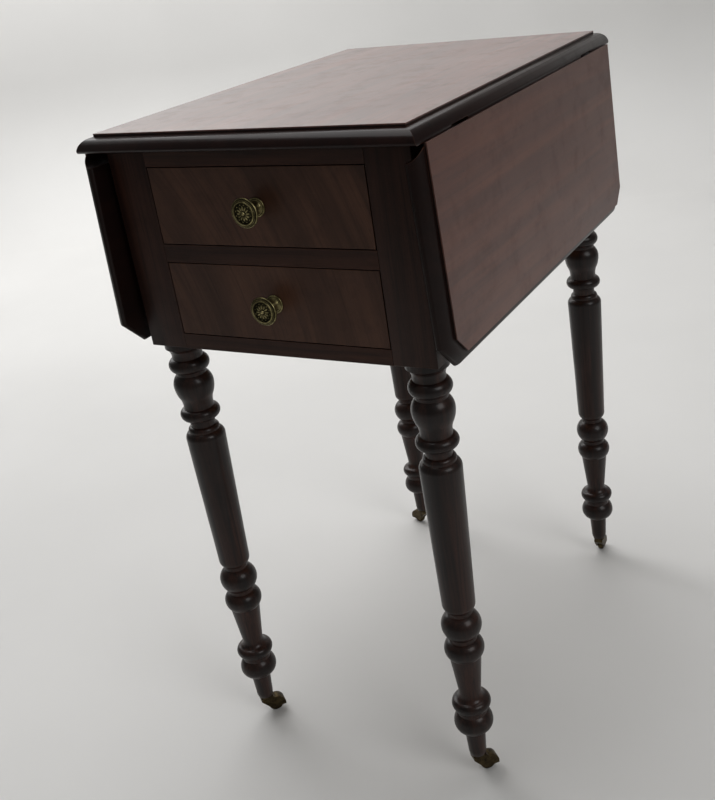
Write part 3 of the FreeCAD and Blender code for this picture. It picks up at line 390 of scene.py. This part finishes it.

# %% [markdown]
# ## Plain woods
# What never shows is never polished. Drawer linings, runners and blocks are pine or oak left from
# the plane, gone honey brown and dusty, and the fly rails are beech. The same stretched noise makes
# them, with a higher roughness and no coat, and their hollows are darkened with painted shade.
# %% Plain woods
def plain_wood(name, axis, dark, light):
    """Unpolished softwood or beech straight from the plane, with strong growth lines and dust."""
    material, tree = new_material(name)
    place = add(tree, "ShaderNodeTexCoord").outputs["Object"]
    lines = grain(tree, place, 300, 4, axis, Detail=4.0, Distortion=0.3)
    dust = grain(tree, place, 45, 45, axis, Detail=6.0)
    colour = mix(tree, ramp(tree, lines, (0.4, 0.62)), light, dark)
    colour = layered(tree, colour, [(ramp(tree, dust, (0.5, 0.75)), 0.4, "#3A2C20"),
                                    # painted shade: ambient occlusion darkens the hollows and gaps
                                    (hollows(tree, 12, (0.7, 0.3)), 0.6, "#1E140D")])
    relief = add(tree, "ShaderNodeBump", {"Height": lines, "Strength": 0.3, "Distance": 0.0004})
    rough = total(tree, "ADD", 0.62, [(dust, 0.2)])
    finish_material(tree, add(tree, "ShaderNodeBsdfPrincipled", {
        "Base Color": colour, "Roughness": rough, "Normal": relief.outputs["Normal"]}))
    return material


FINISHES["lining"] = plain_wood("planed_pine_lining", "Y", "#6E4A2A", "#94704A")
FINISHES["bearer"] = plain_wood("planed_beech_bearer", "Y", "#5E432B", "#7D5E40")
print("plain woods added:", len(FINISHES), "finishes")

# %% [markdown]
# ## Brass and iron
# The knobs are cast and stamped brass. Fingers keep the high parts bright while wax and tarnish
# fill the hollows, so the patina follows depth: an ambient occlusion node, which measures how
# enclosed a point is, mixes dark tarnish into the brass. Hinges and screws are dull iron.
# %% Brass and iron
def metal(name, bright, dull, tarnish, reach_mm, gloss, hollow=(0.95, 0.55)):
    """Old metal: bright where it is rubbed, tarnished in its hollows and in patches."""
    material, tree = new_material(name)
    place = add(tree, "ShaderNodeTexCoord").outputs["Object"]
    patches = grain(tree, place, 6, 6, "X", Detail=5.0, Roughness=0.6)
    sunk = add(tree, "ShaderNodeAttribute", attribute_name="sunk").outputs["Fac"]
    depth = maths(tree, "MAXIMUM", hollows(tree, reach_mm, hollow), sunk)
    colour = mix(tree, ramp(tree, patches, (0.40, 0.66)), bright, dull)
    colour = mix(tree, worn_edges(tree, 0.4), colour, bright)
    colour = mix(tree, depth, colour, tarnish)
    rough = total(tree, "ADD", gloss, [(patches, 0.16), (depth, 0.35)])
    relief = add(tree, "ShaderNodeBump", {"Height": patches, "Strength": 0.25, "Distance": 0.0002})
    finish_material(tree, add(tree, "ShaderNodeBsdfPrincipled", {
        "Base Color": colour, "Metallic": 1.0, "Roughness": rough, "Normal": relief.outputs["Normal"]}))
    return material


FINISHES["knob"] = metal("aged_knob_brass", "#A0956A", "#5E5739", "#25231A", 2.0, 0.24, (0.9, 0.5))
FINISHES["castor"] = metal("dull_castor_brass", "#524630", "#2E271D", "#110E0A", 3.5, 0.40, (0.98, 0.5))
FINISHES["iron"] = metal("dull_hinge_iron", "#6E675F", "#4A433C", "#1D1815", 2.0, 0.45)
print("metals added:", len(FINISHES), "finishes")

# %% [markdown]
# ## Lathe work
# A turned piece is a profile spun about an axis. The profile is a list of corners, radius and
# height in mm, and a corner may say that the stretch before it is an arc. The arc is worked out
# from its radius, so a bead or a cove stays a true curve however finely it is divided.
# %% Lathe helpers
def arc(start, end, radius, turning, step_mm):
    """Points along the shorter arc between two corners; turning 1 is anticlockwise."""
    chord = end - start
    left = Vector((-chord.y, chord.x)).normalized() * turning
    centre = (start + end) / 2 + left * math.sqrt(max(radius ** 2 - (chord.length / 2) ** 2, 0))
    first, last = start - centre, end - centre
    sweep_angle = first.angle_signed(last) * -1
    count = max(2, round(abs(sweep_angle) * radius / step_mm))
    return [centre + Matrix.Rotation(sweep_angle * i / count, 2) @ first for i in range(1, count + 1)]


def bead_radius(rise, depth):
    """The radius of an arc that comes out by depth over a height of rise."""
    return (rise ** 2 + depth ** 2) / (2 * depth)


class Profile:
    """Corners of a turned outline, from top to bottom, as (radius, height) in mm."""

    def __init__(self, out, height, step_mm):
        self.points, self.step_mm = [Vector((out, height))], step_mm

    def line(self, out, height):
        self.points.append(Vector((out, height)))

    def curve(self, out, height, radius, turning):
        self.points += arc(self.points[-1], Vector((out, height)), radius, turning, self.step_mm)

    def swell(self, out, height):
        """A convex arc to or from a fullest point."""
        last = self.points[-1]
        self.curve(out, height, bead_radius(abs(last.y - height), abs(last.x - out)), -1)

    def bead(self, middle, out, half, neck_above, neck_below):
        self.line(neck_above, middle + half)
        self.swell(out, middle)
        self.swell(neck_below, middle - half)


def spin_profile(tools, points, steps):
    """Spin (radius, height) points in mm about Z, in metres."""
    spots = [tools.verts.new((p.x * MM, 0, p.y * MM)) for p in points]
    edges = [tools.edges.new(pair) for pair in zip(spots, spots[1:])]
    bmesh.ops.spin(tools, geom=spots + edges, cent=(0, 0, 0), axis=(0, 0, 1), angle=2 * math.pi, steps=steps,
                   use_merge=True)
    bmesh.ops.remove_doubles(tools, verts=tools.verts, dist=1e-6)


def finished(tools, name, finish, body, sharp_degrees=32):
    """Turn a bmesh into a piece with its finish, riding on its body."""
    bmesh.ops.recalc_face_normals(tools, faces=tools.faces)
    mesh = bpy.data.meshes.new(name)
    tools.to_mesh(mesh)
    tools.free()
    mesh.shade_smooth()
    mesh.set_sharp_from_angle(angle=math.radians(sharp_degrees))
    mesh.materials.append(FINISHES[finish])
    piece = bpy.data.objects.new(name, mesh)
    scene.collection.objects.link(piece)
    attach(piece, body)
    return piece


print("a 22 mm bead that rises 8 mm over 6 mm has an arc of radius", round(bead_radius(6, 8), 1), "mm")

# %% [markdown]
# ## Legs
# Each leg is one length of mahogany. The top is left square, to make the corner of the case, and the
# rest is turned: rings, an urn, a long tapering shaft, balls and a cone, down to a small foot. The
# outline below reads from the case down. A hand turner's work is never quite round, so the finished
# surface is moved by up to a fifth of a millimetre of slow noise.
# %% Legs
NECK, LOW_NECK, HIGH_NECK = 13.8, 13.4, 16.5
POST_LOW, FOOT, SHAFT_TOP, SHAFT_END = 513, 27, 396.5, 233
SPIN_STEPS, SHAFT_CUTS = 72, 8
PROUD_FROM, PROUD_OVER = 18.5, 3.0


def leg_outline():
    turned = Profile(0, POST_LOW, 1.0)
    turned.line(21.6, POST_LOW)
    turned.line(21.6, 506)
    turned.curve(HIGH_NECK, 496, 12, 1)
    turned.bead(484.5, 22, 8, HIGH_NECK, HIGH_NECK)
    turned.line(HIGH_NECK, 473)
    turned.swell(21.9, 460.5)
    turned.swell(18.6, 446)
    turned.curve(HIGH_NECK, 433.5, 24, 1)
    turned.bead(425.5, 22, 6.8, HIGH_NECK, NECK)
    turned.line(NECK, 410)
    turned.curve(17.3, 405, 4.6, -1)
    turned.line(17.3, 404)
    turned.curve(21.9, SHAFT_TOP, 9, -1)
    for cut in range(1, SHAFT_CUTS + 1):
        part = cut / SHAFT_CUTS
        turned.line(21.9 - 4.0 * part, SHAFT_TOP + (SHAFT_END - SHAFT_TOP) * part)
    turned.swell(LOW_NECK, 224.5)
    turned.bead(205.5, 21.8, 14.6, LOW_NECK, 15)
    turned.bead(175.5, 21.8, 11, 15, 17.4)
    turned.line(12.1, 115.5)
    turned.curve(HIGH_NECK, 107.5, 9, 1)
    turned.swell(21.6, 101)
    turned.swell(HIGH_NECK, 93)
    turned.bead(75, 21.8, 12.5, HIGH_NECK, 11.6)
    turned.line(10.1, 36)
    turned.curve(8.6, FOOT, 22, -1)
    turned.line(0, FOOT)
    return turned.points


def make_leg(corner):
    low, high = (Vector(spot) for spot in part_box(corner + "_leg"))
    middle = (low + high) / 2
    tools = bmesh.new()
    spin_profile(tools, leg_outline(), SPIN_STEPS)
    proud = tools.verts.layers.float.new("proud")
    for spot in tools.verts:
        spot[proud] = min(max((spot.co.xy.length / MM - PROUD_FROM) / PROUD_OVER, 0), 1)
        spot.co.xy *= 1 + 0.009 * noise.noise(spot.co * 60 + middle * 9)
    post_low = POST_LOW * MM
    post = bmesh.ops.create_cube(tools, size=1.0)["verts"]
    bmesh.ops.scale(tools, verts=post, vec=(high.x - low.x, high.y - low.y, high.z - post_low))
    bmesh.ops.translate(tools, verts=post, vec=(0, 0, (high.z + post_low) / 2))
    edges = list({edge for spot in post for edge in spot.link_edges})
    bmesh.ops.bevel(tools, geom=edges, offset=0.9 * MM, segments=3, profile=0.5, affect="EDGES", material=-1)
    bmesh.ops.translate(tools, verts=tools.verts, vec=(middle.x, middle.y, 0))
    leg = finished(tools, corner + "_turned_leg", "turned", "root")
    leg.data.materials.append(FINISHES["upright"])
    for face in leg.data.polygons:
        if face.center.z > post_low - 0.1 * MM:
            face.material_index = 1
    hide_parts(corner + "_leg")
    return leg


CORNERS = ["front_left", "front_right", "back_left", "back_right"]
legs = [make_leg(corner) for corner in CORNERS]
print("one leg has", len(legs[0].data.vertices), "points")

# %% [markdown]
# ## Knobs
# Each drawer has one stamped brass knob: a waisted neck, and a head whose rim steps inwards in three
# ridges to a sunk field, where a daisy of twelve petals stands round a small boss. The head is spun,
# and the petals are flattened spheres set in a ring, which catch the light one by one as the stamped
# ones do. How deep each point lies below the ridges is kept on the mesh as a value called sunk, and
# the brass finish darkens with it.
# %% Knobs
KNOB_REACH, KNOB_RADIUS, PETALS = 24.5, 14.2, 12
FIELD_SINK, RIDGE_SINK, DARKENING, FACE_DEPTH = 3.3, 2.7, 0.8, 3.0


def petal(tools, out, length, width, rise, angle, height):
    """A flattened sphere, its long way pointing out from the knob's middle."""
    made = bmesh.ops.create_uvsphere(tools, u_segments=12, v_segments=8, radius=1.0)["verts"]
    bmesh.ops.scale(tools, verts=made, vec=(length * MM, width * MM, rise * MM))
    bmesh.ops.translate(tools, verts=made, vec=(out * MM, 0, height * MM))
    bmesh.ops.rotate(tools, verts=made, cent=(0, 0, 0), matrix=Matrix.Rotation(angle, 3, "Z"))


def knob_outline():
    """From the face of the drawer out along the neck, round the rim and in to the sunk field."""
    face = KNOB_REACH
    head = Profile(0, -2.0, 0.4)
    for out, height in ((6.8, -2.0), (6.8, 2.4)):
        head.line(out, height)
    head.curve(5.2, 7.0, 12, -1)
    head.curve(7.6, face - 9.8, 6, -1)
    head.curve(KNOB_RADIUS - 1.0, face - 7.2, 9, -1)
    head.line(KNOB_RADIUS - 0.1, face - 6.4)
    head.curve(KNOB_RADIUS - 0.4, face - 4.0, 1.5, 1)
    head.line(KNOB_RADIUS - 1.0, face - 4.3)
    head.curve(KNOB_RADIUS - 2.1, face - 3.1, 0.9, 1)
    head.line(KNOB_RADIUS - 2.6, face - 3.6)
    head.curve(KNOB_RADIUS - 3.7, face - 2.2, 1.0, 1)
    head.line(KNOB_RADIUS - 4.3, face - 3.9)
    head.line(3.4, face - FIELD_SINK)
    head.line(0, face - 3.2)
    return head.points


def turn_to_front(tools, drawer):
    """Turn a piece made about Z to face the front, in the middle of its drawer's front."""
    bmesh.ops.rotate(tools, verts=tools.verts, cent=(0, 0, 0),
                     matrix=Matrix.Rotation(math.radians(90), 3, "X"))
    low, high = (Vector(spot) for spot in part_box(drawer + "_drawer_front"))
    centre = (low + high) / 2
    bmesh.ops.translate(tools, verts=tools.verts, vec=(centre.x, low.y, centre.z))


def make_knob(drawer):
    tools = bmesh.new()
    spin_profile(tools, knob_outline(), 64)
    field = KNOB_REACH - FIELD_SINK
    for number in range(PETALS):
        turn = 2 * math.pi * number / PETALS
        petal(tools, 4.8, 2.4, 1.0, 1.0, turn, field)
        petal(tools, 8.4, 0.8, 0.8, 0.8, turn + math.pi / PETALS, field - 0.3)
    petal(tools, 0, 2.1, 2.1, 2.2, 0, field)
    sunk = tools.verts.layers.float.new("sunk")
    for spot in tools.verts:
        depth = KNOB_REACH - RIDGE_SINK - spot.co.z / MM
        inside = spot.co.xy.length < (KNOB_RADIUS - 0.6) * MM and depth < FACE_DEPTH
        spot[sunk] = min(max(depth / DARKENING, 0), 1) if inside else 0
    turn_to_front(tools, drawer)
    knob = finished(tools, drawer + "_stamped_knob", "knob", drawer + "_drawer", 28)
    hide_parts(drawer + "_drawer_knob")
    return knob


def make_rose(drawer):
    plate = Profile(0, -0.2, 0.3)
    for out, height in ((9.5, -0.2), (9.5, 0.7)):
        plate.line(out, height)
    plate.curve(8.2, 1.5, 1.1, 1)
    plate.line(7.8, 1.1)
    plate.curve(6.0, 2.2, 2.4, 1)
    plate.line(0, 2.2)
    tools = bmesh.new()
    spin_profile(tools, plate.points, 48)
    turn_to_front(tools, drawer)
    rose = finished(tools, drawer + "_knob_back_rose", "knob", drawer + "_drawer", 28)
    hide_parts(drawer + "_drawer_knob_rose")


for drawer in ("upper", "lower"):
    print(make_knob(drawer).name, "made")
    make_rose(drawer)

# %% [markdown]
# ## Boards
# The boards keep the shape that the design gives them. What a drawing leaves out is the softness of
# old arrises, so each board gets a Weld, which joins the loose triangles, and a fine Bevel on its
# sharp edges. A part takes the finish of its material slot. The leaves, side boards and drawer
# bottoms and backs are named, because their finish or the way their grain runs is their own.
# %% Boards
FINISH_OF_SLOT = {"mahogany_top": "top", "mahogany_case": "rail", "mahogany_drawer": "drawer",
                  "mahogany_turned": "upright", "secondary_wood": "lining", "bearer_wood": "bearer",
                  "steel": "iron", "knob_brass": "knob", "castor_brass": "castor"}
LEAVES = ("left_leaf", "right_leaf")
SIDES, DRAWERS, RAILS = ("left", "right"), ("upper", "lower"), ("top", "middle", "bottom")
SOFTENED = {"top_board": 0.5, "back_panel": 0.8}
SOFTENED |= {side + "_leaf": 0.5 for side in SIDES}
SOFTENED |= {side + part: 0.8 for side in SIDES for part in ("_side_board", "_fly_bracket")}
SOFTENED |= {rail + "_front_rail": 0.4 for rail in RAILS}
SOFTENED |= {drawer + "_drawer_front": 0.5 for drawer in DRAWERS}
SOFTENED |= {drawer + part: 0.6 for drawer in DRAWERS for part in ("_drawer_sides", "_drawer_back")}
SOFTENED |= {corner + "_castor_horn": 1.3 for corner in CORNERS}
SOFTENED |= {corner + "_castor_wheel": 0.7 for corner in CORNERS}


def soften(node, radius_mm):
    weld = node.modifiers.new("join_triangles", "WELD")
    weld.merge_threshold = 1e-5
    bevel = node.modifiers.new("soft_arrises", "BEVEL")
    bevel.width, bevel.segments = radius_mm * MM, 3
    bevel.limit_method, bevel.angle_limit = "ANGLE", math.radians(40)
    bevel.harden_normals = True


def dress(name, node):
    finish = "leaf" if name in LEAVES else FINISH_OF_SLOT[record_slot[name]]
    if name in ("left_side_board", "right_side_board"):
        finish = "board"
    if name.endswith("drawer_bottom") or name.endswith("drawer_back"):
        finish = "lining"
    node.data.materials.clear()
    node.data.materials.append(FINISHES[finish])
    if name in SOFTENED:
        soften(node, SOFTENED[name])


for name, node in frame["nodes"].items():
    dress(name, node)
print("dressed", len(frame["nodes"]), "parts,", len(SOFTENED), "with softened arrises")
